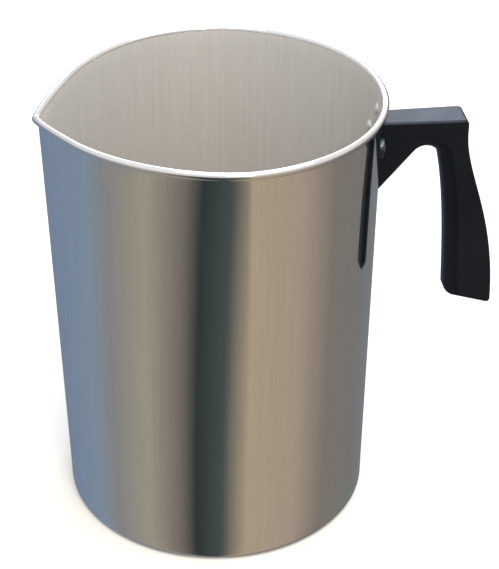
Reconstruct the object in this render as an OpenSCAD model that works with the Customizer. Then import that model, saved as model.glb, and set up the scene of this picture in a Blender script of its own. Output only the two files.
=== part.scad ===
// Candle melting pot: a drawn aluminium pot with a pinched pouring spout, a rolled rim,
// and a moulded handle held by a riveted bracket and one screw.
// The origin is the centre of the underside, +Z is up, +X points to the handle and -X to the spout.

/* [Pot] */
// Height from the table to the top of the rolled rim
pot_h = 202; // [170:1:240]
// Outside radius of the wall at the rim
rim_r = 72; // [66:0.5:80]
// Outside radius of the wall at the base
base_r = 70.5; // [65:0.5:79]
// Thickness of the aluminium sheet
sheet_t = 1.0; // [0.8:0.1:1.2]
// Outside radius of the corner between wall and base
foot_r = 3; // [2:0.5:6]
// Radius of the rolled rim, outside
bead_r = 1.75; // [1.6:0.05:2.5]

/* [Spout] */
// How far the spout's tip stands out past the round rim
spout_reach = 5.0; // [3:0.5:9]
// Angle from the tip over which the fold runs out at the rim
spout_half = 25; // [20:1:35]
// How much the rim drops at the tip
spout_dip = 6.8; // [3:0.1:10]
// How far the rim beside the spout is pressed inwards
pinch_in = 2.7; // [1:0.1:4]

/* [Handle] */
// Depth of the handle's flat top below the rim
handle_drop = 14.8; // [13:0.1:18]
// Reach of the handle's arm from the wall
arm_reach = 39.1; // [38:0.1:44]
// Reach of the grip's lower end from the wall
heel_reach = 56.4; // [54:0.1:62]
// Depth of the grip's lower end below the rim
heel_drop = 111.1; // [106:0.1:125]
// Width of the handle at the pot
root_w = 14; // [13.5:0.5:15]
// Width of the handle along the grip
grip_w = 16; // [15:0.5:22]

/* [Bracket] */
// Thickness of the bracket
bracket_t = 1.5; // [1.2:0.1:2]
// Width of the bracket's upright strap
strap_w = 11; // [10:0.5:12]
// Depth of the upper rivet below the rim
rivet_top = 11.2; // [10.5:0.1:11.5]
// Depth of the two lower rivets below the rim
rivet_low = 24.5; // [23:0.5:27]
// Sideways distance from the middle to each lower rivet
rivet_side = 10.8; // [10.5:0.1:13]
// Radius of a rivet's shank
rivet_r = 1.6; // [1.2:0.1:2]

/* [Hidden] */
$fn = 96;

// Wall
wall_lean = (rim_r - base_r) / pot_h;
bead_z = pot_h - bead_r;
floor_join = base_r - foot_r - 1;

// Rolled rim: the sheet curls outwards until its edge nearly meets the wall again
curl_gap = 0.15; // kept open, because a sheet that touched itself would be a closed tube
curl_end = -acos((sheet_t - bead_r + curl_gap) / bead_r);
curl_steps = 8;

// Spout
pinch_half = 95;
dip_half = 80;
dip_power = 2.2;
crease_soft = 1.5;
fold_spread = 20;
corner_steps = 4;
wall_steps = 7;
near_angle = 15;
near_steps = 8;
far_steps = 14;
plain_steps = 9;
handle_angle = 15;
handle_steps = 5;
facet_gap = 0.05;

// Bracket and its rivets
strap_foot = 46;
ear_r = 4.6;
rivet_head_r = 3.2;
rivet_head_h = 1.6;
rivet_tail_r = 2.8;
rivet_tail_h = 1.0;
rivet_sink = 0.2;
shank_in = 1;
shank_out = 0.5;
hole_slack = 0.05;

// How far a cutting shape goes through, and past, what it cuts
cut_reach = 10;
past = 1;
rivet_turn = asin(rivet_side / rim_r);

// Tang: the tongue that runs out of the bracket into the handle
tang_w = 7;
tang_drop = handle_drop + 6;
tang_reach = 25.5;
tang_under = tang_drop + bracket_t;

// Screw, washer and nut, all of the 4 mm size
screw_x = 19.6;
screw_r = 1.95;
clear_r = 2.25;
seat_drop = tang_under + 3.2;
seat_r = 4.6;
washer_t = 0.9;
washer_r = 3.8;
head_r = 3.9;
head_h = 2.4;
nut_flats = 7;
nut_t = 3.2;
nut_r = 2.0;
screw_short = 0.2;
recess_half = 2;
recess_w = 0.9;
recess_depth = 1.4;
split_w = 0.6;
split_lean = 20;

// Handle outline, measured out from the wall and down from the rim
root_sink = 10;
root_gap = 0.15;
shoulder_r = 2.4;
heel_r = 1.75;
toe_r = 3;
arch_r = 6.3;
toe_x = heel_reach - 22.3;
toe_drop = heel_drop - 6.6;
gusset_drop = 48.2;
grip_from = 32;
pocket_slack = 0.2;

function wall_r(z) = base_r + wall_lean * z;
function soft(a) = sqrt(a * a + crease_soft * crease_soft) - crease_soft;

// Radial shift of the wall at an angle from the spout's tip, at a height
function fold_width(s) = spout_half + fold_spread * (1 - s);
function fold(a, s) = spout_reach * s * pow(max(0, 1 - soft(a) / fold_width(s)), 2);
function pinch(a, s) = a < pinch_half ? pinch_in * s * s * sin(180 * a / pinch_half) : 0;
function shift(a, s) = fold(a, s) - pinch(a, s);
function dip(a, s) = spout_dip * pow(s, 3) * pow(max(0, 1 - a / dip_half), dip_power);

// Points of an arc, of a smooth curve with four control points, and of a rounded corner
function arc(c, r, from, to, n) =
    [for (i = [0:n]) c + r * [cos(from + (to - from) * i / n), sin(from + (to - from) * i / n)]];
function curve(a, b, c, d, n) =
    [for (i = [0:n]) let (t = i / n, u = 1 - t)
        u * u * u * a + 3 * u * u * t * b + 3 * u * t * t * c + t * t * t * d];
function unit(v) = v / norm(v);
function heading(v) = atan2(v[1], v[0]);
function near_turn(from, to) = from + (((to - from) % 360 + 540) % 360 - 180);
function corner(a, b, c, r, n) =
    let (p = unit(a - b), q = unit(c - b),
         half = acos(p * q) / 2,
         m = b + unit(p + q) * r / sin(half),
         start = heading(b + p * r / tan(half) - m),
         end = near_turn(start, heading(b + q * r / tan(half) - m)))
    arc(m, r, start, end, n);

// Cross-section of the sheet from the floor, out and up the wall, over the rim and back down inside
bead_c = [wall_r(bead_z) - sheet_t + bead_r, bead_z];
section = concat(
    [[floor_join, 0]],
    arc([wall_r(foot_r) - foot_r, foot_r], foot_r, -90, 0, corner_steps),
    [for (i = [1:wall_steps]) let (z = foot_r + (bead_z - foot_r) * i / wall_steps)
        [wall_r(z), z]],
    arc(bead_c, bead_r - sheet_t, 180, curl_end, curl_steps),
    arc(bead_c, bead_r, curl_end, 180, curl_steps),
    [for (i = [wall_steps - 1:-1:1]) let (z = foot_r + (bead_z - foot_r) * i / wall_steps)
        [wall_r(z) - sheet_t, z]],
    arc([wall_r(foot_r) - foot_r, foot_r], foot_r - sheet_t, 0, -90, corner_steps),
    [[floor_join, sheet_t]]
);

// Angles round the pot at which the sheet's section is placed, closest together at the spout's
// tip and at the handle
function spread(from, to, n) = [for (i = [1:n]) from + (to - from) * i / n];
side_angles = concat(
    spread(0, near_angle, near_steps),
    spread(near_angle, pinch_half, far_steps),
    spread(pinch_half, 180 - handle_angle, plain_steps),
    spread(180 - handle_angle, 180, handle_steps)
);
ring_angles = concat([0], side_angles, [for (i = [len(side_angles) - 2:-1:0]) 360 - side_angles[i]]);

// Where a point of the section lands at an angle from the spout's tip
function pressed(p, angle) =
    let (a = min(angle, 360 - angle), s = p[1] / pot_h, r = p[0] + shift(a, s))
    [r * cos(180 + angle), r * sin(180 + angle), p[1] - dip(a, s)];

// The sheet: one section after another round the pot, closed by the two faces of the floor
module pressed_sheet() {
    n = len(section);
    m = len(ring_angles);
    under = m * n;
    over = under + 1;
    points = concat(
        [for (angle = ring_angles) for (p = section) pressed(p, angle)],
        [[0, 0, 0], [0, 0, sheet_t]]
    );
    sides = [for (j = [0:m - 1]) for (i = [0:n - 2]) let (j2 = (j + 1) % m)
        each [[j * n + i, j * n + i + 1, j2 * n + i + 1],
              [j * n + i, j2 * n + i + 1, j2 * n + i]]];
    floors = [for (j = [0:m - 1]) let (j2 = (j + 1) % m)
        each [[under, j * n, j2 * n],
              [over, j2 * n + n - 1, j * n + n - 1]]];
    polyhedron(points, concat(sides, floors));
}

// A rivet's axis at the wall: depth below the rim and turn about the pot
module at_rivets() {
    translate([0, 0, pot_h - rivet_top])
        children();
    for (side = [-1, 1])
        rotate([0, 0, side * rivet_turn])
            translate([0, 0, pot_h - rivet_low])
                children();
}

module rivet_holes() {
    at_rivets()
        translate([rim_r - cut_reach / 2, 0, 0])
            rotate([0, 90, 0])
                cylinder(h = cut_reach, r = rivet_r + hole_slack);
}

module pot_body() {
    color("gainsboro")
        difference() {
            pressed_sheet();
            rivet_holes();
        }
}

// Solid of revolution that follows the wall's lean, at a distance outside or inside it
module lean_solid(out) {
    rotate_extrude()
        polygon([[0, 0], [wall_r(0) + out, 0], [wall_r(pot_h) + out, pot_h], [0, pot_h]]);
}

// Flat outline of the bracket, or of the room it needs, seen from the handle: sideways and up
// from the rim
module strap_outline(room = 0) {
    half = strap_w / 2 + room;
    ear = ear_r + room;
    translate([0, -rivet_top])
        circle(r = half);
    translate([-half, -strap_foot - room])
        square([2 * half, strap_foot + room - rivet_top]);
    translate([-rivet_side, -rivet_low - ear])
        square([2 * rivet_side, 2 * ear]);
    for (side = [-1, 1])
        translate([side * rivet_side, -rivet_low])
            circle(r = ear);
}

// The bracket's outline, as a solid that runs out from the pot's axis
module strap_beam(room = 0) {
    translate([0, 0, pot_h])
        rotate([90, 0, 90])
            linear_extrude(rim_r + cut_reach)
                strap_outline(room);
}

module tang() {
    difference() {
        union() {
            translate([rim_r, -tang_w / 2, pot_h - tang_under])
                cube([tang_reach - tang_w / 2, tang_w, bracket_t]);
            translate([rim_r + tang_reach - tang_w / 2, 0, pot_h - tang_under])
                cylinder(h = bracket_t, r = tang_w / 2);
        }
        lean_solid(bracket_t / 2);
        translate([rim_r + screw_x, 0, pot_h - tang_under - past])
            cylinder(h = bracket_t + 2 * past, r = clear_r);
    }
}

module handle_bracket() {
    color("silver") {
        difference() {
            intersection() {
                strap_beam();
                lean_solid(bracket_t);
            }
            lean_solid(0);
            rivet_holes();
        }
        tang();
    }
}

// Dome of a rivet's head, standing on its flat side with the top up
module dome(r, h) {
    ball = (r * r + h * h) / (2 * h);
    rotate_extrude()
        polygon(concat([[0, -past], [r, -past]],
                       arc([0, h - ball], ball, asin((ball - h) / ball), 90, 12)));
}

module bracket_rivets() {
    color("gainsboro") {
        // heads inside the pot
        intersection() {
            at_rivets()
                translate([rim_r - sheet_t - rivet_sink, 0, 0])
                    rotate([0, -90, 0])
                        dome(rivet_head_r, rivet_head_h);
            lean_solid(-sheet_t - facet_gap);
        }
        // shanks
        at_rivets()
            translate([rim_r - sheet_t - shank_in, 0, 0])
                rotate([0, 90, 0])
                    cylinder(h = shank_in + sheet_t + bracket_t + shank_out, r = rivet_r);
        // tails outside the bracket
        difference() {
            at_rivets()
                translate([rim_r + bracket_t - rivet_sink, 0, 0])
                    rotate([0, 90, 0])
                        dome(rivet_tail_r, rivet_tail_h + rivet_sink);
            lean_solid(bracket_t);
        }
    }
}

// Side view of the handle: out from the wall and up from the rim
shoulder = [arm_reach, -handle_drop];
back_top = [arm_reach, -handle_drop - 5.7];
back_pull_top = [arm_reach, -42];
back_pull_low = [heel_reach - 1.5, -61.4];
back_low = [heel_reach - 0.3, -heel_drop + 3];
heel = [heel_reach, -heel_drop];
toe = [toe_x, -toe_drop];
front_low = [toe_x, -toe_drop + 3.4];
front_pull_low = [33, -75.1];
front_pull_top = [31.6, -52.2];
arch_apex = [24.65, -22];
gusset_foot = [0, -gusset_drop];
arch = corner(front_pull_top, arch_apex, gusset_foot, arch_r, 10);
front = curve(front_low, front_pull_low, front_pull_top, arch[0], 16);
handle_outline = concat(
    [[-root_sink, -handle_drop]],
    corner([0, -handle_drop], shoulder, back_top, shoulder_r, 6),
    curve(back_top, back_pull_top, back_pull_low, back_low, 20),
    corner(back_low, heel, toe, heel_r, 5),
    corner(heel, toe, front_low, toe_r, 5),
    front,
    [for (i = [1:len(arch) - 1]) arch[i]],
    [gusset_foot, [-root_sink, -gusset_drop]]
);

// Half the handle's width, by the distance from the wall
function half_w(x) = (root_w + (grip_w - root_w) * min(max(x, 0) / grip_from, 1)) / 2;

// Plan of the handle: narrower at the pot than along the grip
module handle_plan() {
    stations = [-root_sink, 0, grip_from, heel_reach + past];
    polygon(concat([for (x = stations) [x, -half_w(x)]],
                   [for (i = [len(stations) - 1:-1:0]) [stations[i], half_w(stations[i])]]));
}

module handle() {
    color("#14181f")
        difference() {
            translate([rim_r, 0, pot_h])
                intersection() {
                    rotate([90, 0, 0])
                        linear_extrude(grip_w, center = true)
                            polygon(handle_outline);
                    translate([0, 0, -heel_drop - past])
                        linear_extrude(heel_drop)
                            handle_plan();
                }
            // the root hugs the wall, and the bracket lies in a recess of its own
            lean_solid(root_gap);
            intersection() {
                lean_solid(bracket_t);
                strap_beam(root_gap);
            }
            // pocket for the tang, with room above it for the nut
            translate([rim_r, -nut_flats / 2 - pocket_slack, pot_h - tang_under])
                cube([tang_reach + pocket_slack, nut_flats + 2 * pocket_slack,
                      bracket_t + nut_t + pocket_slack]);
            // screw hole and the seat for the washer
            translate([rim_r + screw_x, 0, pot_h - tang_under - cut_reach])
                cylinder(h = cut_reach + past, r = clear_r);
            translate([rim_r + screw_x, 0, pot_h - seat_drop - cut_reach])
                cylinder(h = cut_reach, r = seat_r);
        }
}

module captive_nut() {
    color("silver")
        translate([rim_r + screw_x, 0, pot_h - tang_drop])
            difference() {
                rotate([0, 0, 30])
                    cylinder(h = nut_t, r = nut_flats / 2 / cos(30), $fn = 6);
                translate([0, 0, -past])
                    cylinder(h = nut_t + 2 * past, r = nut_r);
            }
}

module handle_screw() {
    head_z = pot_h - seat_drop - washer_t - head_h;
    // from under the head, through washer, handle and tang, to just short of the nut's top
    grip_length = washer_t + seat_drop - tang_drop + nut_t - screw_short;
    color("silver")
        translate([rim_r + screw_x, 0, head_z])
            difference() {
                union() {
                    translate([0, 0, head_h])
                        rotate([180, 0, 0])
                            intersection() {
                                dome(head_r, head_h);
                                cylinder(h = head_h, r = head_r);
                            }
                    translate([0, 0, head_h / 2])
                        cylinder(h = head_h / 2 + grip_length, r = screw_r);
                }
                // cross recess
                for (turn = [0, 90])
                    rotate([0, 0, turn])
                        translate([-recess_half, -recess_w / 2, -past])
                            cube([2 * recess_half, recess_w, past + recess_depth]);
            }
}

module lock_washer() {
    color("silver")
        translate([rim_r + screw_x, 0, pot_h - seat_drop - washer_t])
            difference() {
                cylinder(h = washer_t, r = washer_r);
                translate([0, 0, -past])
                    cylinder(h = washer_t + 2 * past, r = clear_r);
                // the slanted split
                translate([washer_r / 2, 0, -past])
                    rotate([split_lean, 0, 0])
                        cube([washer_r, split_w, washer_t + 3 * past]);
            }
}

pot_body();
handle_bracket();
bracket_rivets();
handle();
captive_nut();
handle_screw();
lock_washer();
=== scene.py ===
# %% [markdown]
# # A candle melting pot, piece by piece
# This lesson dresses a small product in real materials. The pot is one sheet of aluminium, drawn
# into a tall cup, with a spout pinched into its rim and the rim itself rolled outwards. A black
# moulded handle sits on a riveted bracket. The engineering model is loaded first: it fixes where
# every piece is, so nothing here is placed by eye.

# %% Load the engineering model
import math

import bmesh
import bpy
from mathutils import Matrix, Vector


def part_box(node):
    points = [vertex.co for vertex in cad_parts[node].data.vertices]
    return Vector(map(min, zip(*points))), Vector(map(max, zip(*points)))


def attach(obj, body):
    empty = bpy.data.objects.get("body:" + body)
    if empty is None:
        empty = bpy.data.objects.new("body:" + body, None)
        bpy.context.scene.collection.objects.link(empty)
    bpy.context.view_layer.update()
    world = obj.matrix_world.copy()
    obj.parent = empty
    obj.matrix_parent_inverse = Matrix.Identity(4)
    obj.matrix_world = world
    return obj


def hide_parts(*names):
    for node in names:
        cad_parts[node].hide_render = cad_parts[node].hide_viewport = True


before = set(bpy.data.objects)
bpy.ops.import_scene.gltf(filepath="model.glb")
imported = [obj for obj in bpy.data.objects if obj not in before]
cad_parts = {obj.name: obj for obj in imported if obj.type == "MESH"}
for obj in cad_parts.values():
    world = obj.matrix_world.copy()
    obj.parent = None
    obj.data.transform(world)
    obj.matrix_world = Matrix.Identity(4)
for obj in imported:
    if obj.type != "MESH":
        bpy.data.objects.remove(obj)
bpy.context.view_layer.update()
print("pieces in the model:", sorted(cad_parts))

# %% [markdown]
# ## Working sizes
# Blender works in metres, and a pot is easier to think of in millimetres, so one constant turns
# millimetres into metres. The outer edge of the rim is read from the model. The others are the
# maker's own choices: height, sheet thickness, the radii of the roll, the foot, the rim and the base.

# %% Sizes of the pot
MM = 0.001
rim_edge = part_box("pot_body")[1].x
HEIGHT = 202 * MM
SHEET = 1.0 * MM
BEAD = 1.75 * MM
FOOT = 3.0 * MM
RIM_R = 72.0 * MM
BASE_R = 70.5 * MM
print(f"rim {2000 * rim_edge:.1f} mm across, pot {HEIGHT / MM:.0f} mm high")

# %% [markdown]
# ## Two small helpers
# Colours are written as the hex values a paint chart gives. Blender mixes light in linear values,
# so one function converts them. The other helper adds a node of any kind to any tree, sets its
# properties, and links or fills its inputs.

# %% Helpers for colours and nodes
def linear(hex_colour):
    """An sRGB hex colour as linear red, green, blue and full alpha."""
    parts = [int(hex_colour[i:i + 2], 16) / 255 for i in (1, 3, 5)]
    return [p / 12.92 if p <= 0.04045 else ((p + 0.055) / 1.055) ** 2.4 for p in parts] + [1.0]


def add(tree, kind, inputs=None, **settings):
    """Adds a node. Settings are its properties; each input is given a value or a socket to link."""
    node = tree.nodes.new(kind)
    for name, value in settings.items():
        setattr(node, name, value)
    for name, value in (inputs or {}).items():
        if isinstance(value, bpy.types.NodeSocket):
            tree.links.new(value, node.inputs[name])
        else:
            node.inputs[name].default_value = value
    return node


print("mid grey in linear values:", [round(c, 4) for c in linear("#808080")])

# %% [markdown]
# ## The camera
# The view is that of someone standing at a bench and looking down at the pot: 32 degrees above
# the table, from about 80 cm, through a long lens, which keeps the pot's sides nearly parallel. The
# tiny roll is the tilt of a hand-held camera.

# %% Camera
VIEW_TURN = math.radians(-7.4)
VIEW_UP = math.radians(32.14)
VIEW_DISTANCE = 783.4 * MM
VIEW_ROLL = math.radians(0.69)
LENS = 107.56
SENSOR = 36
look_at = Vector((15.1, -2.0, 105.1)) * MM
back = Vector((math.sin(VIEW_TURN) * math.cos(VIEW_UP), -math.cos(VIEW_TURN) * math.cos(VIEW_UP),
               math.sin(VIEW_UP)))
camera_data = bpy.data.cameras.new("camera")
camera_data.lens = LENS
camera_data.sensor_width = SENSOR
camera_data.clip_start = 0.01
camera_data.clip_end = 50
camera = bpy.data.objects.new("camera", camera_data)
bpy.context.scene.collection.objects.link(camera)
aim = (-back).to_track_quat("-Z", "Y").to_matrix().to_4x4()
camera.matrix_world = (Matrix.Translation(look_at + back * VIEW_DISTANCE) @ aim
                       @ Matrix.Rotation(VIEW_ROLL, 4, "Z"))
bpy.context.scene.camera = camera
print("camera stands at", [round(c, 3) for c in camera.matrix_world.translation])

# %% [markdown]
# ## Materials
# ### Bright aluminium, outside
# Rolled and drawn aluminium sheet comes out of the press bright. It mirrors the room, but softly:
# the tools leave fine lines that run up the wall, so reflections smear a little and streak upwards.
# A metal has no diffuse colour, so Metallic is 1 and Base Color is the tint of its mirror image.
# The streaks are noise squeezed across and stretched along Z. Real tool lines are a few hundredths
# of a millimetre apart, too fine to show, so these are drawn at about 0.7 mm.

# %% Bright drawn aluminium
def new_material(name):
    """An empty material with an output node, and its Principled shader."""
    material = bpy.data.materials.new(name)
    material.use_nodes = True
    material.node_tree.nodes.clear()
    shader = add(material.node_tree, "ShaderNodeBsdfPrincipled")
    add(material.node_tree, "ShaderNodeOutputMaterial", {"Surface": shader.outputs[0]})
    return material, material.node_tree, shader


def bright_aluminium():
    line_gap, wave_gap, squash = 0.7 * MM, 9 * MM, 0.012
    material, tree, shader = new_material("bright_drawn_aluminium")
    place = add(tree, "ShaderNodeTexCoord")
    upright = add(tree, "ShaderNodeMapping", {"Vector": place.outputs["Object"], "Scale": (1, 1, squash)})
    lines = add(tree, "ShaderNodeTexNoise", {"Vector": upright.outputs[0], "Scale": 1 / line_gap,
                                             "Detail": 3.0, "Roughness": 0.6})
    rough = add(tree, "ShaderNodeMapRange", {"Value": lines.outputs[0], "From Min": 0.3, "From Max": 0.7,
                                             "To Min": 0.05, "To Max": 0.10})
    tint = add(tree, "ShaderNodeMapRange", {"Value": lines.outputs[0], "From Min": 0.3, "From Max": 0.7,
                                            "To Min": 0.86, "To Max": 0.93})
    tree.links.new(rough.outputs[0], shader.inputs["Roughness"])
    tree.links.new(tint.outputs[0], shader.inputs["Base Color"])
    waves = add(tree, "ShaderNodeTexNoise", {"Vector": upright.outputs[0], "Scale": 1 / wave_gap,
                                             "Detail": 2.0})
    bump = add(tree, "ShaderNodeBump", {"Height": waves.outputs[0], "Distance": 0.015 * MM})
    tree.links.new(bump.outputs[0], shader.inputs["Normal"])
    shader.inputs["Metallic"].default_value = 1.0
    return material


BRIGHT = bright_aluminium()
print("made", BRIGHT.name)

# %% [markdown]
# ### Satin aluminium, inside
# The inside is not polished: it keeps the matt grey skin that drawing and washing leave. That skin
# scatters light more as a dull coat does than as bare metal, so Metallic is only 0.1. The same
# upright lines are there. Roughness is high, so no picture of the room shows, only soft light and
# dark.

# %% Satin aluminium
def satin_aluminium():
    line_gap, grain_gap, squash = 1.4 * MM, 0.8 * MM, 0.02
    material, tree, shader = new_material("satin_drawn_aluminium")
    place = add(tree, "ShaderNodeTexCoord")
    upright = add(tree, "ShaderNodeMapping", {"Vector": place.outputs["Object"], "Scale": (1, 1, squash)})
    lines = add(tree, "ShaderNodeTexNoise", {"Vector": upright.outputs[0], "Scale": 1 / line_gap,
                                             "Detail": 4.0, "Roughness": 0.65})
    grain = add(tree, "ShaderNodeTexNoise", {"Vector": place.outputs["Object"], "Scale": 1 / grain_gap,
                                             "Detail": 2.0})
    both = add(tree, "ShaderNodeMix", {0: 0.3, 2: lines.outputs[0], 3: grain.outputs[0]}, data_type="FLOAT")
    colour = add(tree, "ShaderNodeValToRGB", {"Fac": both.outputs[0]})
    colour.color_ramp.elements[0].position = 0.35
    colour.color_ramp.elements[0].color = linear("#bdbab7")
    colour.color_ramp.elements[1].position = 0.65
    colour.color_ramp.elements[1].color = linear("#c6c4c1")
    tree.links.new(colour.outputs[0], shader.inputs["Base Color"])
    bump = add(tree, "ShaderNodeBump", {"Height": both.outputs[0], "Distance": 0.02 * MM})
    tree.links.new(bump.outputs[0], shader.inputs["Normal"])
    shader.inputs["Metallic"].default_value = 0.1
    shader.inputs["Roughness"].default_value = 0.7
    shader.inputs["Specular IOR Level"].default_value = 0.3
    return material


SATIN = satin_aluminium()
print("made", SATIN.name)

# %% [markdown]
# ## The pot
# The pot's wall follows a rule, so it is grown with Geometry Nodes instead of being sculpted. First
# the sheet is drawn once, as a cross-section: out along the floor, round the foot, up the wall,
# over the rolled rim, and back down the inside. The nodes then set that section round the pot, and
# at each angle they press it the way the spout tool does: a fold pushed out at the tip, the rim
# on both sides of it pulled in, and the lip lowered.

# %% The sheet's cross-section
def arc(centre, radius, start, end, steps):
    """Points along a circular arc, angles in degrees."""
    turns = [math.radians(start + (end - start) * i / steps) for i in range(steps + 1)]
    return [Vector((centre[0] + radius * math.cos(t), centre[1] + radius * math.sin(t))) for t in turns]


def wall_r(z):
    """Outside radius of the wall at a height: the pot is a little wider at the rim."""
    return BASE_R + (RIM_R - BASE_R) * z / HEIGHT


WALL_ROWS = 30
ROLL_STEPS = 20
CORNER_STEPS = 6
FLOOR_RINGS = 5
# how far the end of the roll stays from the wall
CURL_GAP = 0.15 * MM
bead_z = HEIGHT - BEAD
bead_x = rim_edge - BEAD
curl_end = -math.degrees(math.acos((SHEET - BEAD + CURL_GAP) / BEAD))
wall_heights = [FOOT + (bead_z - FOOT) * i / WALL_ROWS for i in range(1, WALL_ROWS)]
foot_centre = (wall_r(FOOT) - FOOT, FOOT)

outside = [Vector((foot_centre[0] * i / FLOOR_RINGS, 0)) for i in range(FLOOR_RINGS)]
outside += arc(foot_centre, FOOT, -90, 0, CORNER_STEPS)
outside += [Vector((wall_r(z), z)) for z in wall_heights]
roll = arc((bead_x, bead_z), BEAD - SHEET, 180, curl_end, ROLL_STEPS // 2)
roll += arc((bead_x, bead_z), BEAD, curl_end, 180, ROLL_STEPS)
inside = [Vector((wall_r(z) - SHEET, z)) for z in reversed(wall_heights)]
inside += arc(foot_centre, FOOT - SHEET, 0, -90, CORNER_STEPS)
inside += [Vector((foot_centre[0] * i / FLOOR_RINGS, SHEET)) for i in reversed(range(FLOOR_RINGS))]
section = outside + roll + inside
first_inside_row = len(outside) + len(roll) - 1

section_mesh = bpy.data.meshes.new("sheet_section")
section_mesh.from_pydata([(p.x, 0, p.y) for p in section], [], [])
print("points in the section:", len(section), "- the inside starts at", first_inside_row)

# %% [markdown]
# ### The pressing rule as a node tree
# A grid gives one row of points for each point of the section and one column for each step round
# the pot. Sample Index looks up the section's point for the row. The column gives the angle from
# the spout's tip. The rest is the rule itself, written with Math nodes. Merge by Distance closes
# the seam and the middle of the floor.

# %% Node tree of the pressed sheet
def new_tree(name, inputs):
    """A geometry node tree with a Geometry input, the named inputs, and a Geometry output."""
    tree = bpy.data.node_groups.new(name, "GeometryNodeTree")
    tree.interface.new_socket("Geometry", in_out="INPUT", socket_type="NodeSocketGeometry")
    for label, kind in inputs.items():
        tree.interface.new_socket(label, in_out="INPUT", socket_type="NodeSocket" + kind)
    tree.interface.new_socket("Geometry", in_out="OUTPUT", socket_type="NodeSocketGeometry")
    return tree, add(tree, "NodeGroupInput").outputs


# the lip drops faster the nearer it is to the tip
DIP_POWER = 2.2
# a section point nearer the axis than this is on it, and stays there
ON_AXIS = 1e-6
# points closer together than this are one point
SAME_POINT = 0.002 * MM


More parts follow.
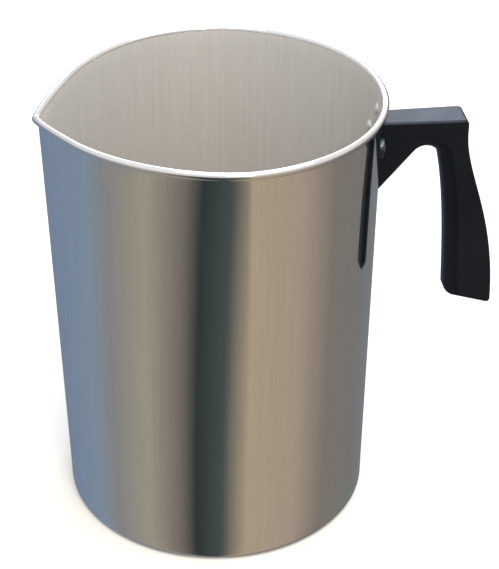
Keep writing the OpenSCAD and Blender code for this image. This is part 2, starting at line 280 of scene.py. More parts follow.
def pressed_sheet_tree():
    tree, given = new_tree("pressed_sheet", {
        "Section points": "Int", "Steps round": "Int", "Inside from row": "Int", "Pot height": "Float",
        "Spout reach": "Float", "Spout angle": "Float", "Fold spread": "Float", "Crease softness": "Float",
        "Spout dip": "Float", "Dip angle": "Float", "Pinch": "Float", "Pinch angle": "Float",
        "Outside": "Material", "Inside": "Material"})
    math_node = "ShaderNodeMath"
    columns = add(tree, math_node, {0: given["Steps round"], 1: 1.0}, operation="ADD").outputs[0]
    grid = add(tree, "GeometryNodeMeshGrid", {"Vertices X": given["Section points"], "Vertices Y": columns})
    index = add(tree, "GeometryNodeInputIndex").outputs[0]
    share = add(tree, math_node, {0: index, 1: columns}, operation="DIVIDE").outputs[0]
    row = add(tree, math_node, {0: share}, operation="FLOOR").outputs[0]
    column = add(tree, math_node, {0: index, 1: columns}, operation="MODULO").outputs[0]
    place = add(tree, "GeometryNodeInputPosition").outputs[0]
    looked_up = add(tree, "GeometryNodeSampleIndex",
                    {"Geometry": given["Geometry"], "Value": place, "Index": row},
                    data_type="FLOAT_VECTOR")
    point = add(tree, "ShaderNodeSeparateXYZ", {0: looked_up.outputs[0]}).outputs
    # angle from the tip, in degrees: 0 at the tip, 180 at the handle, the same on both sides
    turn = add(tree, math_node, {0: column, 1: given["Steps round"]}, operation="DIVIDE").outputs[0]
    angle = add(tree, math_node, {0: turn, 1: 360.0}, operation="MULTIPLY").outputs[0]
    other = add(tree, math_node, {0: 360.0, 1: angle}, operation="SUBTRACT").outputs[0]
    away = add(tree, math_node, {0: angle, 1: other}, operation="MINIMUM").outputs[0]
    # height as a share of the pot's
    share_up = add(tree, math_node, {0: point[2], 1: given["Pot height"]}, operation="DIVIDE").outputs[0]
    share_down = add(tree, math_node, {0: 1.0, 1: share_up}, operation="SUBTRACT").outputs[0]
    # the fold pushed out at the tip, sharpest at the rim, wider and weaker lower down
    soft_sq = add(tree, math_node, {0: given["Crease softness"], 1: 2.0}, operation="POWER").outputs[0]
    away_sq = add(tree, math_node, {0: away, 1: away, 2: soft_sq}, operation="MULTIPLY_ADD").outputs[0]
    root = add(tree, math_node, {0: away_sq}, operation="SQRT").outputs[0]
    soft_away = add(tree, math_node, {0: root, 1: given["Crease softness"]}, operation="SUBTRACT").outputs[0]
    width = add(tree, math_node, {0: given["Fold spread"], 1: share_down, 2: given["Spout angle"]},
                operation="MULTIPLY_ADD").outputs[0]
    part = add(tree, math_node, {0: soft_away, 1: width}, operation="DIVIDE").outputs[0]
    left_over = add(tree, math_node, {0: 1.0, 1: part}, operation="SUBTRACT", use_clamp=True).outputs[0]
    fold_shape = add(tree, math_node, {0: left_over, 1: 2.0}, operation="POWER").outputs[0]
    fold_size = add(tree, math_node, {0: given["Spout reach"], 1: share_up}, operation="MULTIPLY").outputs[0]
    # the rim beside the spout pulled in, fading with the square of the height
    pinch_part = add(tree, math_node, {0: away, 1: given["Pinch angle"]}, operation="DIVIDE",
                     use_clamp=True).outputs[0]
    half_wave = add(tree, math_node, {0: pinch_part, 1: math.pi}, operation="MULTIPLY").outputs[0]
    pinch_shape = add(tree, math_node, {0: half_wave}, operation="SINE").outputs[0]
    up_sq = add(tree, math_node, {0: share_up, 1: 2.0}, operation="POWER").outputs[0]
    pinch_size = add(tree, math_node, {0: given["Pinch"], 1: up_sq}, operation="MULTIPLY").outputs[0]
    pinched = add(tree, math_node, {0: pinch_size, 1: pinch_shape}, operation="MULTIPLY").outputs[0]
    pushed = add(tree, math_node, {0: fold_size, 1: fold_shape, 2: point[0]},
                 operation="MULTIPLY_ADD").outputs[0]
    on_axis = add(tree, math_node, {0: point[0], 1: ON_AXIS}, operation="GREATER_THAN").outputs[0]
    radius = add(tree, math_node, {0: pushed, 1: pinched}, operation="SUBTRACT").outputs[0]
    radius = add(tree, math_node, {0: radius, 1: on_axis}, operation="MULTIPLY").outputs[0]
    # the lip lowered towards the tip
    dip_part = add(tree, math_node, {0: away, 1: given["Dip angle"]}, operation="DIVIDE").outputs[0]
    dip_left = add(tree, math_node, {0: 1.0, 1: dip_part}, operation="SUBTRACT", use_clamp=True).outputs[0]
    dip_shape = add(tree, math_node, {0: dip_left, 1: DIP_POWER}, operation="POWER").outputs[0]
    up_cube = add(tree, math_node, {0: share_up, 1: 3.0}, operation="POWER").outputs[0]
    dip_size = add(tree, math_node, {0: given["Spout dip"], 1: up_cube}, operation="MULTIPLY").outputs[0]
    dipped = add(tree, math_node, {0: dip_size, 1: dip_shape}, operation="MULTIPLY").outputs[0]
    height = add(tree, math_node, {0: point[2], 1: dipped}, operation="SUBTRACT").outputs[0]
    # from radius and angle to X and Y, with the tip on -X
    radians = add(tree, math_node, {0: angle}, operation="RADIANS").outputs[0]
    cosine = add(tree, math_node, {0: radians}, operation="COSINE").outputs[0]
    sine = add(tree, math_node, {0: radians}, operation="SINE").outputs[0]
    to_left = add(tree, math_node, {0: radius, 1: -1.0}, operation="MULTIPLY").outputs[0]
    x = add(tree, math_node, {0: to_left, 1: cosine}, operation="MULTIPLY").outputs[0]
    y = add(tree, math_node, {0: to_left, 1: sine}, operation="MULTIPLY").outputs[0]
    where = add(tree, "ShaderNodeCombineXYZ", {"X": x, "Y": y, "Z": height}).outputs[0]
    # rows from this one on are the inside, up to the roll: marked before the points merge
    is_inside = add(tree, "FunctionNodeCompare", {0: row, 1: given["Inside from row"]},
                    operation="GREATER_EQUAL").outputs[0]
    marked = add(tree, "GeometryNodeCaptureAttribute", {"Geometry": grid.outputs[0]})
    marked.capture_items.new("BOOLEAN", "inside")
    tree.links.new(is_inside, marked.inputs[1])
    moved = add(tree, "GeometryNodeSetPosition", {"Geometry": marked.outputs[0], "Position": where})
    closed = add(tree, "GeometryNodeMergeByDistance", {"Geometry": moved.outputs[0],
                                                       "Distance": SAME_POINT})
    # the grid's faces come out pointing inwards, so they are turned over
    outwards = add(tree, "GeometryNodeFlipFaces", {"Mesh": closed.outputs[0]})
    smooth = add(tree, "GeometryNodeSetShadeSmooth", {"Geometry": outwards.outputs[0]})
    real = add(tree, "GeometryNodeRealizeInstances", {"Geometry": smooth.outputs[0]})
    outer = add(tree, "GeometryNodeSetMaterial", {"Geometry": real.outputs[0], "Material": given["Outside"]})
    inner = add(tree, "GeometryNodeSetMaterial", {"Geometry": outer.outputs[0], "Material": given["Inside"],
                                                  "Selection": marked.outputs[1]})
    add(tree, "NodeGroupOutput", {0: inner.outputs[0]})
    return tree


PRESS = pressed_sheet_tree()
print("nodes in the pressing rule:", len(PRESS.nodes))

# %% [markdown]
# ### From node tree to plain mesh
# The exporter wants plain meshes. So the tree runs once on a carrier object, and its result is
# copied into a mesh of its own. Inputs are set by the socket's identifier, before anything is
# evaluated.

# %% Build a piece with nodes
def grow(name, mesh, tree, values):
    """Runs a node tree on a mesh and returns the result as a plain mesh object."""
    carrier = bpy.data.objects.new(name + "_carrier", mesh)
    bpy.context.scene.collection.objects.link(carrier)
    modifier = carrier.modifiers.new("nodes", "NODES")
    modifier.node_group = tree
    for socket in tree.interface.items_tree:
        if socket.in_out == "INPUT" and socket.name in values:
            modifier[socket.identifier] = values[socket.name]
    depsgraph = bpy.context.evaluated_depsgraph_get()
    result = bpy.data.meshes.new_from_object(carrier.evaluated_get(depsgraph), depsgraph=depsgraph)
    carrier.modifiers.remove(modifier)
    bpy.data.objects.remove(carrier)
    result.name = name
    piece = bpy.data.objects.new(name, result)
    bpy.context.scene.collection.objects.link(piece)
    return piece


pot = grow("pot_sheet", section_mesh, PRESS, {
    "Section points": len(section), "Steps round": 480, "Inside from row": first_inside_row,
    "Pot height": HEIGHT, "Spout reach": 5.0 * MM, "Spout angle": 25.0, "Fold spread": 20.0,
    "Crease softness": 1.5, "Spout dip": 6.8 * MM, "Dip angle": 80.0, "Pinch": 2.7 * MM,
    "Pinch angle": 95.0, "Outside": BRIGHT, "Inside": SATIN})
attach(pot, "root")
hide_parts("pot_body")
checked = bmesh.new()
checked.from_mesh(pot.data)
print("pot faces:", len(checked.faces), "volume in mm3:", round(checked.calc_volume(signed=True) * 1e9),
      "open edges:", sum(1 for e in checked.edges if len(e.link_faces) != 2))
checked.free()

# %% [markdown]
# ## The handle
# The handle is phenolic, the hard black plastic of old saucepan handles: it is moulded, does not
# melt, and is nearly as glossy as its mould. Its side view is an outline with a flat top, a rounded
# shoulder, a back that swells towards the heel, and an arch for the fingers.

# %% Outline of the handle
def bezier(a, b, c, d, steps):
    """Points of a cubic curve with four control points."""
    points = []
    for i in range(steps + 1):
        t = i / steps
        u = 1 - t
        points.append(u ** 3 * a + 3 * u * u * t * b + 3 * u * t * t * c + t ** 3 * d)
    return points


def rounded(a, b, c, radius, steps):
    """The corner a-b-c at b, rounded with a radius."""
    p = (a - b).normalized()
    q = (c - b).normalized()
    half = p.angle(q) / 2
    centre = b + (p + q).normalized() * radius / math.sin(half)
    reach = radius / math.tan(half)
    start = b + p * reach - centre
    sweep = start.angle_signed(b + q * reach - centre)
    return [centre + Matrix.Rotation(-sweep * i / steps, 2) @ start for i in range(steps + 1)]


def at(x, z):
    """A point of the outline: out from the wall and up from the rim, in millimetres."""
    return Vector((x, z)) * MM


# distances in millimetres, out from the wall and down from the rim
ARM_DROP, ARM_REACH = 14.8, 39.1
GUSSET_DROP, TOE_REACH = 48.2, 34.1
INTO_WALL = 10
SHOULDER_R, HEEL_R, TOE_R, ARCH_R = 2.4 * MM, 1.75 * MM, 3 * MM, 6.3 * MM

shoulder, back_top = at(ARM_REACH, -ARM_DROP), at(ARM_REACH, -20.5)
back_low, heel, toe = at(56.1, -108.1), at(56.4, -111.1), at(TOE_REACH, -104.5)
front_low, front_guide = at(TOE_REACH, -101.1), at(31.6, -52.2)
gusset = at(0, -GUSSET_DROP)
arch = rounded(front_guide, at(24.65, -22), gusset, ARCH_R, 16)
front = bezier(front_low, at(33, -75.1), front_guide, arch[0], 28)
outline = [at(-INTO_WALL, -ARM_DROP)]
outline += rounded(at(0, -ARM_DROP), shoulder, back_top, SHOULDER_R, 8)
outline += bezier(back_top, at(ARM_REACH, -42), at(54.9, -61.4), back_low, 36)
outline += rounded(back_low, heel, toe, HEEL_R, 6)
outline += rounded(heel, toe, front_low, TOE_R, 8)
outline += front + arch[1:] + [gusset, at(-INTO_WALL, -GUSSET_DROP)]
print("points in the handle's outline:", len(outline))

# %% [markdown]
# ### From outline to moulding
# The outline is pushed out sideways into a slab, narrower at the pot than at the grip. Then two
# cutters run along the finger side and round its edges with a large radius, because that is where
# the fingers close. The other edges get the small radius that a mould leaves.

# %% Slab of the handle
ROOT_HALF = 7.0 * MM
GRIP_HALF = 8.0 * MM
GRIP_FROM = 32 * MM
FINGER_R = 6.5 * MM
GUSSET_R = 2.0 * MM
EDGE_R = 1.2 * MM
# the cutter's arc starts and ends this far outside the slab, so that no two faces coincide
PROUD = 0.06 * MM
# how far a tool reaches outside what it cuts
PAST = 1 * MM
# how far the finger cutter runs on below the toe and into the pot, in millimetres
PAST_TOE, PAST_ROOT = 8, 10


def half_width(x):
    """Half the handle's width at a distance from the wall."""
    return ROOT_HALF + (GRIP_HALF - ROOT_HALF) * min(max(x / GRIP_FROM, 0), 1)


def to_object(shape, name):
    """Turns a bmesh into an object."""
    mesh = bpy.data.meshes.new(name)
    shape.to_mesh(mesh)
    shape.free()
    return bpy.data.objects.new(name, mesh)


def slab():
    shape = bmesh.new()
    face = shape.faces.new([shape.verts.new((p.x, -1, p.y)) for p in outline])
    for item in bmesh.ops.extrude_face_region(shape, geom=[face])["geom"]:
        if isinstance(item, bmesh.types.BMVert):
            item.co.y = 1
    for x in (0, GRIP_FROM):
        bmesh.ops.bisect_plane(shape, geom=shape.verts[:] + shape.edges[:] + shape.faces[:],
                               dist=1e-7, plane_co=(x, 0, 0), plane_no=(1, 0, 0))
    for v in shape.verts:
        v.co.y *= half_width(v.co.x)
    bmesh.ops.recalc_face_normals(shape, faces=shape.faces[:])
    long_edges = [e for e in shape.edges if len(e.link_faces) == 2
                  and e.calc_face_angle() > math.radians(60)
                  and e.verts[0].co.y * e.verts[1].co.y > 0]
    bmesh.ops.bevel(shape, geom=long_edges, offset=EDGE_R, segments=5, profile=0.5, affect="EDGES",
                    clamp_overlap=False)
    bmesh.ops.translate(shape, verts=shape.verts[:], vec=(RIM_R, 0, HEIGHT))
    return to_object(shape, "handle_moulding")


handle = slab()
bpy.context.scene.collection.objects.link(handle)
print("slab faces:", len(handle.data.polygons))


# %% Round the finger side
def subtract(piece, tool, at_point=(0, 0, 0)):
    """Cuts a tool out of a piece and removes the tool."""
    tool.data.transform(Matrix.Translation(at_point))
    bpy.context.scene.collection.objects.link(tool)
    cutter = piece.modifiers.new("cut", "BOOLEAN")
    cutter.operation = "DIFFERENCE"
    cutter.solver = "EXACT"
    cutter.object = tool
    depsgraph = bpy.context.evaluated_depsgraph_get()
    result = bpy.data.meshes.new_from_object(piece.evaluated_get(depsgraph), depsgraph=depsgraph)
    piece.modifiers.remove(cutter)
    piece.data = result
    bpy.data.objects.remove(tool)


def add_cutter(shape, side):
    """What comes off one edge of the finger side: the corner outside a quarter circle, swept along it."""
    line = [front_low + (front_low - front[1]).normalized() * PAST_TOE * MM] + front + arch[1:]
    line += [gusset, gusset + (gusset - arch[-1]).normalized() * PAST_ROOT * MM]
    radii = [FINGER_R] * (len(line) - 2) + [GUSSET_R] * 2
    rings = []
    for i, (p, radius) in enumerate(zip(line, radii)):
        along = (line[min(i + 1, len(line) - 1)] - line[max(i - 1, 0)]).normalized()
        inward = Vector((along.y, -along.x))
        flat = [Vector((-PAST, PAST)), Vector((-PAST, PROUD - radius))]
        flat += arc((radius - PROUD, PROUD - radius), radius, 180, 90, 10)
        flat += [Vector((radius, PAST))]
        ring = []
        for q in flat:
            spot = p + inward * q.x
            ring.append(shape.verts.new((RIM_R + spot.x, side * (half_width(spot.x) + q.y),
                                         HEIGHT + spot.y)))
        rings.append(ring)
    count = len(rings[0])
    for low, high in zip(rings, rings[1:]):
        for i in range(count):
            k = (i + 1) % count
            shape.faces.new((low[i], low[k], high[k], high[i]))
    for ring in (rings[0], rings[-1]):
        for i in range(1, count - 1):
            shape.faces.new((ring[0], ring[i], ring[i + 1]))


both_cutters = bmesh.new()
for side in (-1, 1):
    add_cutter(both_cutters, side)
bmesh.ops.recalc_face_normals(both_cutters, faces=both_cutters.faces[:])
subtract(handle, to_object(both_cutters, "finger_cutters"))
print("after rounding:", len(handle.data.polygons), "faces")


# %% [markdown]
# ### The holes in the moulding
# Tools are subtracted, as cores and cutters would: a tapered drum the size of the pot, so that the
# root sits snugly on it; the bracket itself, grown by a hair, which leaves its recess; the pocket
# for the tang and nut; and the screw hole with its flat seat. A Boolean modifier does each cut, and
# is applied at once.

# %% Cutting tools
STRAP = 1.5 * MM
ROOM = 0.15 * MM
SCREW_X = RIM_R + 19.6 * MM
TANG_UNDER = HEIGHT - 22.5 * MM
SEAT = TANG_UNDER - 3.2 * MM
HOLE_R, SEAT_R, CUT_DEPTH = 2.25 * MM, 4.6 * MM, 10 * MM
POCKET_X = RIM_R + 7.7 * MM
# the pocket's length, width and height, in millimetres
POCKET_LONG, POCKET_WIDE, POCKET_HIGH = 36, 7.4, 4.9


def drum(name, rings, steps=96):
    """A closed solid turned about Z from (radius, z) rings, as a mesh object."""
    shape = bmesh.new()
    loops = []
    for radius, z in rings:
        turns = [2 * math.pi * i / steps for i in range(steps)]
        loops.append([shape.verts.new((radius * math.cos(t), radius * math.sin(t), z)) for t in turns])
    for low, high in zip(loops, loops[1:]):
        for i in range(steps):
            k = (i + 1) % steps
            shape.faces.new((low[i], low[k], high[k], high[i]))
    shape.faces.new(reversed(loops[0]))
    shape.faces.new(loops[-1])
    return to_object(shape, name)


def clean_copy(node):
    """A bmesh of a node's mesh, with its triangles merged into faces."""
    shape = bmesh.new()
    shape.from_mesh(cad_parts[node].data)
    bmesh.ops.remove_doubles(shape, verts=shape.verts[:], dist=0.003 * MM)
    bmesh.ops.dissolve_limit(shape, angle_limit=math.radians(1), verts=shape.verts[:], edges=shape.edges[:])
    return shape


pot_drum = drum("pot_drum", [(wall_r(0) + ROOM, 0), (wall_r(HEIGHT) + ROOM, HEIGHT)], steps=360)
subtract(handle, pot_drum)
strap_tool = clean_copy("handle_bracket")
strap_tool.normal_update()
grown = [(v, v.co + v.normal * ROOM) for v in strap_tool.verts]
for v, place in grown:
    v.co = place
subtract(handle, to_object(strap_tool, "strap_tool"))
subtract(handle, drum("screw_hole", [(HOLE_R, -CUT_DEPTH), (HOLE_R, PAST)]), (SCREW_X, 0, TANG_UNDER))
subtract(handle, drum("seat", [(SEAT_R, -CUT_DEPTH), (SEAT_R, 0)]), (SCREW_X, 0, SEAT))
pocket = drum("pocket", [(1, 0), (1, 1)], steps=4)
pocket.data.transform(Matrix.Rotation(math.radians(45), 4, "Z"))
side_share = math.sqrt(2) / 2
pocket.data.transform(Matrix.Diagonal((side_share * POCKET_LONG * MM, side_share * POCKET_WIDE * MM,
                                       POCKET_HIGH * MM, 1)))
subtract(handle, pocket, (POCKET_X, 0, TANG_UNDER))


def mend(piece):
    """Merges the points that a cut leaves on top of each other, and closes what is left open."""
    shape = bmesh.new()
    shape.from_mesh(piece.data)
    bmesh.ops.remove_doubles(shape, verts=shape.verts[:], dist=0.02 * MM)
    bmesh.ops.dissolve_degenerate(shape, edges=shape.edges[:], dist=0.01 * MM)
    loose = [e for e in shape.edges if not e.link_faces]
    bmesh.ops.delete(shape, geom=loose, context="EDGES")
    bmesh.ops.holes_fill(shape, edges=[e for e in shape.edges if len(e.link_faces) == 1], sides=12)
    print("open edges:", sum(1 for e in shape.edges if len(e.link_faces) != 2), "volume in mm3:",
          round(1e9 * shape.calc_volume(signed=True)))
    shape.to_mesh(piece.data)
    shape.free()


mend(handle)
handle.data.name = "handle_moulding"
handle.data.shade_smooth()
handle.data.set_sharp_from_angle(angle=math.radians(38))
flat_sides = handle.modifiers.new("flat_sides", "WEIGHTED_NORMAL")
flat_sides.keep_sharp = True
print("handle faces:", len(handle.data.polygons))

# %% [markdown]
# ### Black phenolic
# Phenolic is pressed from powder and sets hard. It is nearly black with a cold tone, has the soft
# gloss of its steel mould, and an IOR of about 1.6. Light hands and heat leave slight changes in
# gloss, and a faint orange peel keeps highlights from looking drawn with a ruler.

# %% Black phenolic
def black_phenolic():
    cloud_gap, peel_gap = 22 * MM, 1.1 * MM
    material, tree, shader = new_material("black_phenolic")
    place = add(tree, "ShaderNodeTexCoord")
    cloud = add(tree, "ShaderNodeTexNoise", {"Vector": place.outputs["Object"], "Scale": 1 / cloud_gap,
                                             "Detail": 3.0})
    colour = add(tree, "ShaderNodeValToRGB", {"Fac": cloud.outputs[0]})
    colour.color_ramp.elements[0].position = 0.3
    colour.color_ramp.elements[0].color = linear("#0a0e14")
    colour.color_ramp.elements[1].position = 0.7
    colour.color_ramp.elements[1].color = linear("#0e131a")
    tree.links.new(colour.outputs[0], shader.inputs["Base Color"])
    gloss = add(tree, "ShaderNodeMapRange", {"Value": cloud.outputs[0], "From Min": 0.3, "From Max": 0.7,
                                             "To Min": 0.33, "To Max": 0.42})
    tree.links.new(gloss.outputs[0], shader.inputs["Roughness"])
    peel = add(tree, "ShaderNodeTexNoise", {"Vector": place.outputs["Object"], "Scale": 1 / peel_gap,
                                            "Detail": 2.0})
    bump = add(tree, "ShaderNodeBump", {"Height": peel.outputs[0], "Distance": 0.03 * MM})
    tree.links.new(bump.outputs[0], shader.inputs["Normal"])
    shader.inputs["IOR"].default_value = 1.6
    shader.inputs["Specular IOR Level"].default_value = 0.28
    shader.inputs["Specular Tint"].default_value = linear("#c9d6f0")
    return material


PHENOLIC = black_phenolic()
handle.data.materials.clear()
handle.data.materials.append(PHENOLIC)
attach(handle, "root")
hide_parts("handle")
print("handle wears", PHENOLIC.name)

# %% [markdown]
# ## The bracket and its fasteners
# The bracket is stamped from aluminium strip and given a dark grey-blue metal colour, much darker than the
# pot. The faint grain of rolling shows through.
# The screw, washer and nut are steel with bright zinc plating. Their shapes in the engineering model
# are right, but their edges are sharp as a razor, and real ones are not: a broken edge is what
# catches the light. So each gets a copy of its mesh, cleaned and with its edges broken.

# %% Metal of the small parts
def strip_aluminium():
    material, tree, shader = new_material("dark_strip_aluminium")
    place = add(tree, "ShaderNodeTexCoord")
    along = add(tree, "ShaderNodeMapping", {"Vector": place.outputs["Object"], "Scale": (1, 1, 0.03)})
    lines = add(tree, "ShaderNodeTexNoise", {"Vector": along.outputs[0], "Scale": 1 / (0.6 * MM),
                                             "Detail": 3.0})
    rough = add(tree, "ShaderNodeMapRange", {"Value": lines.outputs[0], "To Min": 0.26, "To Max": 0.40})
    tree.links.new(rough.outputs[0], shader.inputs["Roughness"])
    # dark grey-blue metal colour over the whole strip, much darker than the pot's aluminium
    shader.inputs["Base Color"].default_value = linear("#4a5459")
    shader.inputs["Metallic"].default_value = 1.0
    return material


def rivet_aluminium():
    material, tree, shader = new_material("headed_rivet_aluminium")
    place = add(tree, "ShaderNodeTexCoord")
    marks = add(tree, "ShaderNodeTexNoise", {"Vector": place.outputs["Object"], "Scale": 1 / (0.9 * MM),
                                             "Detail": 2.0})
    rough = add(tree, "ShaderNodeMapRange", {"Value": marks.outputs[0], "To Min": 0.18, "To Max": 0.34})
    tree.links.new(rough.outputs[0], shader.inputs["Roughness"])
    bump = add(tree, "ShaderNodeBump", {"Height": marks.outputs[0], "Distance": 0.03 * MM})
    tree.links.new(bump.outputs[0], shader.inputs["Normal"])
    shader.inputs["Base Color"].default_value = linear("#ededec")
    shader.inputs["Metallic"].default_value = 1.0
    return material


def zinc_steel():
    material, tree, shader = new_material("zinc_plated_steel")
    place = add(tree, "ShaderNodeTexCoord")
    bloom = add(tree, "ShaderNodeTexNoise", {"Vector": place.outputs["Object"], "Scale": 1 / (2.5 * MM),
                                             "Detail": 3.0})
    colour = add(tree, "ShaderNodeValToRGB", {"Fac": bloom.outputs[0]})
    colour.color_ramp.elements[0].color = linear("#bfc3c8")
    colour.color_ramp.elements[1].color = linear("#d6d6cf")
    tree.links.new(colour.outputs[0], shader.inputs["Base Color"])
    rough = add(tree, "ShaderNodeMapRange", {"Value": bloom.outputs[0], "To Min": 0.2, "To Max": 0.36})
    tree.links.new(rough.outputs[0], shader.inputs["Roughness"])
    shader.inputs["Metallic"].default_value = 1.0
    return material


STRIP, RIVET, ZINC = strip_aluminium(), rivet_aluminium(), zinc_steel()
print("small parts wear", STRIP.name, RIVET.name, ZINC.name)

# %% Break the edges of the small parts
def break_edges(node, name, width, material):
    """A copy of a node's mesh with its triangles merged, its edges bevelled and a material."""
    shape = clean_copy(node)
    sharp = [e for e in shape.edges if len(e.link_faces) == 2 and e.calc_face_angle() > math.radians(40)]
    bmesh.ops.bevel(shape, geom=sharp, offset=width, segments=2, profile=0.5, affect="EDGES",
                    clamp_overlap=True)
    mesh = bpy.data.meshes.new(name)
    shape.to_mesh(mesh)
    shape.free()
    mesh.materials.append(material)
    mesh.shade_smooth()
    mesh.set_sharp_from_angle(angle=math.radians(50))
    piece = bpy.data.objects.new(name, mesh)
    bpy.context.scene.collection.objects.link(piece)
    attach(piece, "root")
    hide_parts(node)
    return piece


bracket = break_edges("handle_bracket", "bracket_strap", 0.2 * MM, STRIP)
screw = break_edges("handle_screw", "pan_head_screw", 0.12 * MM, ZINC)
washer = break_edges("lock_washer", "split_washer", 0.08 * MM, ZINC)
nut = break_edges("captive_nut", "square_edged_nut", 0.2 * MM, ZINC)
for piece in (bracket, screw, washer, nut):
    print(piece.name, "faces:", len(piece.data.polygons))

# %% [markdown]
# ### The rivets
# Three rivets hold the bracket. They are the same part three times, so one is turned on a lathe,
# in code, and Geometry Nodes set it at each hole. Each point carries the turn that makes its rivet
# stand square to the round wall.

# %% One rivet, and where the three go
HEAD_R, HEAD_H = 3.2 * MM, 1.6 * MM
TAIL_R, TAIL_H = 2.8 * MM, 1.0 * MM
# each head sinks a little way into the metal, and is narrower there
SUNK_SHARE, SINK = 0.92, 0.1 * MM
LOW_SIDE, LOW_DROP, TOP_DROP = 10.8 * MM, 24.5 * MM, 11.2 * MM


def cap(radius, height, steps):
    """The outline of a domed head, as (height, radius) points from its edge to its tip."""
    ball = (radius * radius + height * height) / (2 * height)
    start = math.acos((ball - height) / ball)
    points = []
    for i in range(steps + 1):
        t = start * (1 - i / steps)
        points.append((ball * math.cos(t) - ball + height, ball * math.sin(t)))
    return points


def rivet_mesh():
    inner = -SHEET
    outer = STRAP
    head = [(inner + SINK, SUNK_SHARE * HEAD_R)] + [(inner - h, r) for h, r in cap(HEAD_R, HEAD_H, 10)]
    tail = [(outer - SINK, SUNK_SHARE * TAIL_R)] + [(outer + h, r) for h, r in cap(TAIL_R, TAIL_H, 8)]
    rings = list(reversed(head)) + tail
    shape = bmesh.new()
    steps = 40
    loops = []
    for x, r in rings:
        if r < 1e-7:
            loops.append([shape.verts.new((x, 0, 0))])
        else:
            turns = [2 * math.pi * i / steps for i in range(steps)]
            loops.append([shape.verts.new((x, r * math.cos(t), r * math.sin(t))) for t in turns])
    for a, b in zip(loops, loops[1:]):
        for i in range(steps):
            k = (i + 1) % steps
            corners = [a[i % len(a)], a[k % len(a)], b[k % len(b)], b[i % len(b)]]
            shape.faces.new(list(dict.fromkeys(corners)))
    bmesh.ops.recalc_face_normals(shape, faces=shape.faces[:])
    mesh = bpy.data.meshes.new("one_rivet")
    shape.to_mesh(mesh)
    shape.free()
    mesh.shade_smooth()
    mesh.set_sharp_from_angle(angle=math.radians(50))
    return mesh


def rivet_points():
    """A mesh of three points on the wall, each with the turn of its rivet about the pot's axis."""
    turn = math.asin(LOW_SIDE / RIM_R)
    spots = [(0.0, TOP_DROP), (-turn, LOW_DROP), (turn, LOW_DROP)]
    mesh = bpy.data.meshes.new("rivet_points")
    places = []
    for angle, drop in spots:
        z = HEIGHT - drop
        places.append((wall_r(z) * math.cos(angle), wall_r(z) * math.sin(angle), z))
    mesh.from_pydata(places, [], [])
    turns = mesh.attributes.new("turn", "FLOAT", "POINT")
    turns.data.foreach_set("value", [angle for angle, _ in spots])
    return mesh


def rivets_tree():
    tree, given = new_tree("set_rivets", {"Rivet": "Object", "Material": "Material"})
    source = add(tree, "GeometryNodeObjectInfo", {"Object": given["Rivet"]})
    turn = add(tree, "GeometryNodeInputNamedAttribute", {"Name": "turn"}, data_type="FLOAT")
    spin = add(tree, "ShaderNodeCombineXYZ", {"Z": turn.outputs[0]})
    copies = add(tree, "GeometryNodeInstanceOnPoints",
                 {"Points": given["Geometry"], "Instance": source.outputs["Geometry"],
                  "Rotation": spin.outputs[0]})
    real = add(tree, "GeometryNodeRealizeInstances", {"Geometry": copies.outputs[0]})
    dressed = add(tree, "GeometryNodeSetMaterial", {"Geometry": real.outputs[0],
                                                    "Material": given["Material"]})
    add(tree, "NodeGroupOutput", {0: dressed.outputs[0]})
    return tree


one_rivet = bpy.data.objects.new("one_rivet", rivet_mesh())
bpy.context.scene.collection.objects.link(one_rivet)
rivets = grow("domed_rivets", rivet_points(), rivets_tree(), {"Rivet": one_rivet, "Material": RIVET})
bpy.data.objects.remove(one_rivet)
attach(rivets, "root")
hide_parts("bracket_rivets")
print("rivet faces:", len(rivets.data.polygons))

# %% [markdown]
# ## The studio
# A polished pot is a picture of its room, so the room matters as much as the metal. The floor is
# plain and pale. Round it stands a soft room, made as a world: pale above, and below the horizon a
# ring of broad bands of colour, as a bench, a window and a dark doorway give. Only mirrors look
# into the ring; the floor and the backdrop stay plain.

# %% Room
# degrees round from +X, the colour there, and what stands there; the ring starts and ends in one corner
RING = [
    (-180, "#888888", "dim corner"),
    (-150, "#a09888", "pale wall"),
    (-125, "#787068", "side of the door"),
    (-112, "#303838", "dark doorway"),
    (-92, "#485050", "far side of the doorway"),
    (-72, "#b0a088", "warm bench"),
    (-35, "#a89888", "end of the bench"),
    (-5, "#807870", "shade beside the bench"),
    (35, "#787878", "grey wall"),
    (85, "#788088", "window frame"),
    (125, "#7888a0", "blue window"),
    (160, "#8090a0", "far end of the window"),
    (180, "#888888", "dim corner"),
]
# how far up a ray looks where the ring gives way to the ceiling, and where the ceiling gets lighter
HORIZON_LOW, HORIZON_HIGH = -0.05, 0.12
CEILING_LOW, CEILING_HIGH = 0.1, 0.85


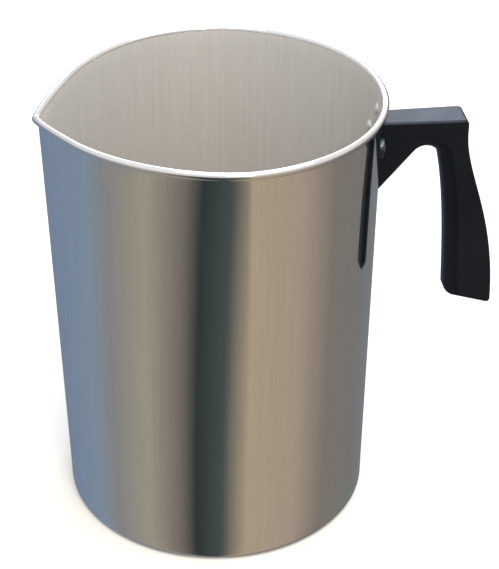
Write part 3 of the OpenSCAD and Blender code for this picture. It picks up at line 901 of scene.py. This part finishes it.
def room():
    world = bpy.data.worlds.new("soft_room")
    bpy.context.scene.world = world
    world.use_nodes = True
    tree = world.node_tree
    tree.nodes.clear()
    direction = add(tree, "ShaderNodeTexCoord").outputs["Generated"]
    xyz = add(tree, "ShaderNodeSeparateXYZ", {0: direction}).outputs
    turn = add(tree, "ShaderNodeMath", {0: xyz[1], 1: xyz[0]}, operation="ARCTAN2").outputs[0]
    share = add(tree, "ShaderNodeMapRange", {"Value": turn, "From Min": -math.pi, "From Max": math.pi})
    ring = add(tree, "ShaderNodeValToRGB", {"Fac": share.outputs[0]})
    stops = ring.color_ramp.elements
    stops.remove(stops[1])
    for i, (degrees, colour, _) in enumerate(RING):
        stop = stops[0] if i == 0 else stops.new((degrees + 180) / 360)
        stop.position = (degrees + 180) / 360
        stop.color = linear(colour)
    above = add(tree, "ShaderNodeMapRange", {"Value": xyz[2], "From Min": HORIZON_LOW,
                                             "From Max": HORIZON_HIGH})
    higher = add(tree, "ShaderNodeMapRange", {"Value": xyz[2], "From Min": CEILING_LOW,
                                              "From Max": CEILING_HIGH})
    ceiling = add(tree, "ShaderNodeMix", {0: higher.outputs[0], 6: linear("#cdc6c2"), 7: linear("#f6f6f8")},
                  data_type="RGBA")
    seen = add(tree, "ShaderNodeMix", {0: above.outputs[0], 6: ring.outputs[0], 7: ceiling.outputs[2]},
               data_type="RGBA")
    path = add(tree, "ShaderNodeLightPath")
    colour = add(tree, "ShaderNodeMix", {0: path.outputs["Is Glossy Ray"], 6: linear("#f4f4f2"),
                                         7: seen.outputs[2]}, data_type="RGBA")
    light = add(tree, "ShaderNodeBackground", {"Color": colour.outputs[2], "Strength": 1.0})
    add(tree, "ShaderNodeOutputWorld", {"Surface": light.outputs[0]})
    world.cycles.sampling_method = "NONE"


room()
bpy.context.scene.view_settings.view_transform = "Standard"
print("bands in the ring:", len(RING) - 1)

# %% Floor
def pale_floor():
    mesh = bpy.data.meshes.new("floor")
    half = 6.0
    mesh.from_pydata([(-half, -half, 0), (half, -half, 0), (half, half, 0), (-half, half, 0)], [],
                     [(0, 1, 2, 3)])
    material, tree, shader = new_material("pale_floor")
    shader.inputs["Base Color"].default_value = linear("#e9e9e7")
    shader.inputs["Roughness"].default_value = 0.9
    mesh.materials.append(material)
    floor = bpy.data.objects.new("floor", mesh)
    bpy.context.scene.collection.objects.link(floor)
    floor.visible_glossy = False
    return floor


floor = pale_floor()
print("floor is", round(floor.dimensions.x), "m wide")

# %% [markdown]
# ### Lights
# Three soft lamps, as in a product studio: one high over the pot, one behind it, which draws the
# sheen along the top of the handle and the white line along the rim, and a small warm one in front,
# which picks out the handle's long edge.

# %% Lamps
def softbox(name, place, target, size, power, colour):
    data = bpy.data.lights.new(name, "AREA")
    data.shape = "RECTANGLE"
    data.size, data.size_y = size
    data.energy = power
    data.color = linear(colour)[:3]
    lamp = bpy.data.objects.new(name, data)
    lamp.location = place
    lamp.rotation_euler = (Vector(target) - Vector(place)).to_track_quat("-Z", "Y").to_euler()
    bpy.context.scene.collection.objects.link(lamp)


middle = (0, 0, 0.15)
softbox("over", (0.12, -0.1, 1.1), middle, (0.7, 0.7), 7.0, "#fffdf8")
softbox("front", (0.1, -0.75, 1.1), (0.1, 0, 0.19), (0.35, 0.35), 6.0, "#fff3e0")
softbox("behind", (0.25, 1.2, 0.85), middle, (1.2, 0.5), 8.0, "#e4ecff")
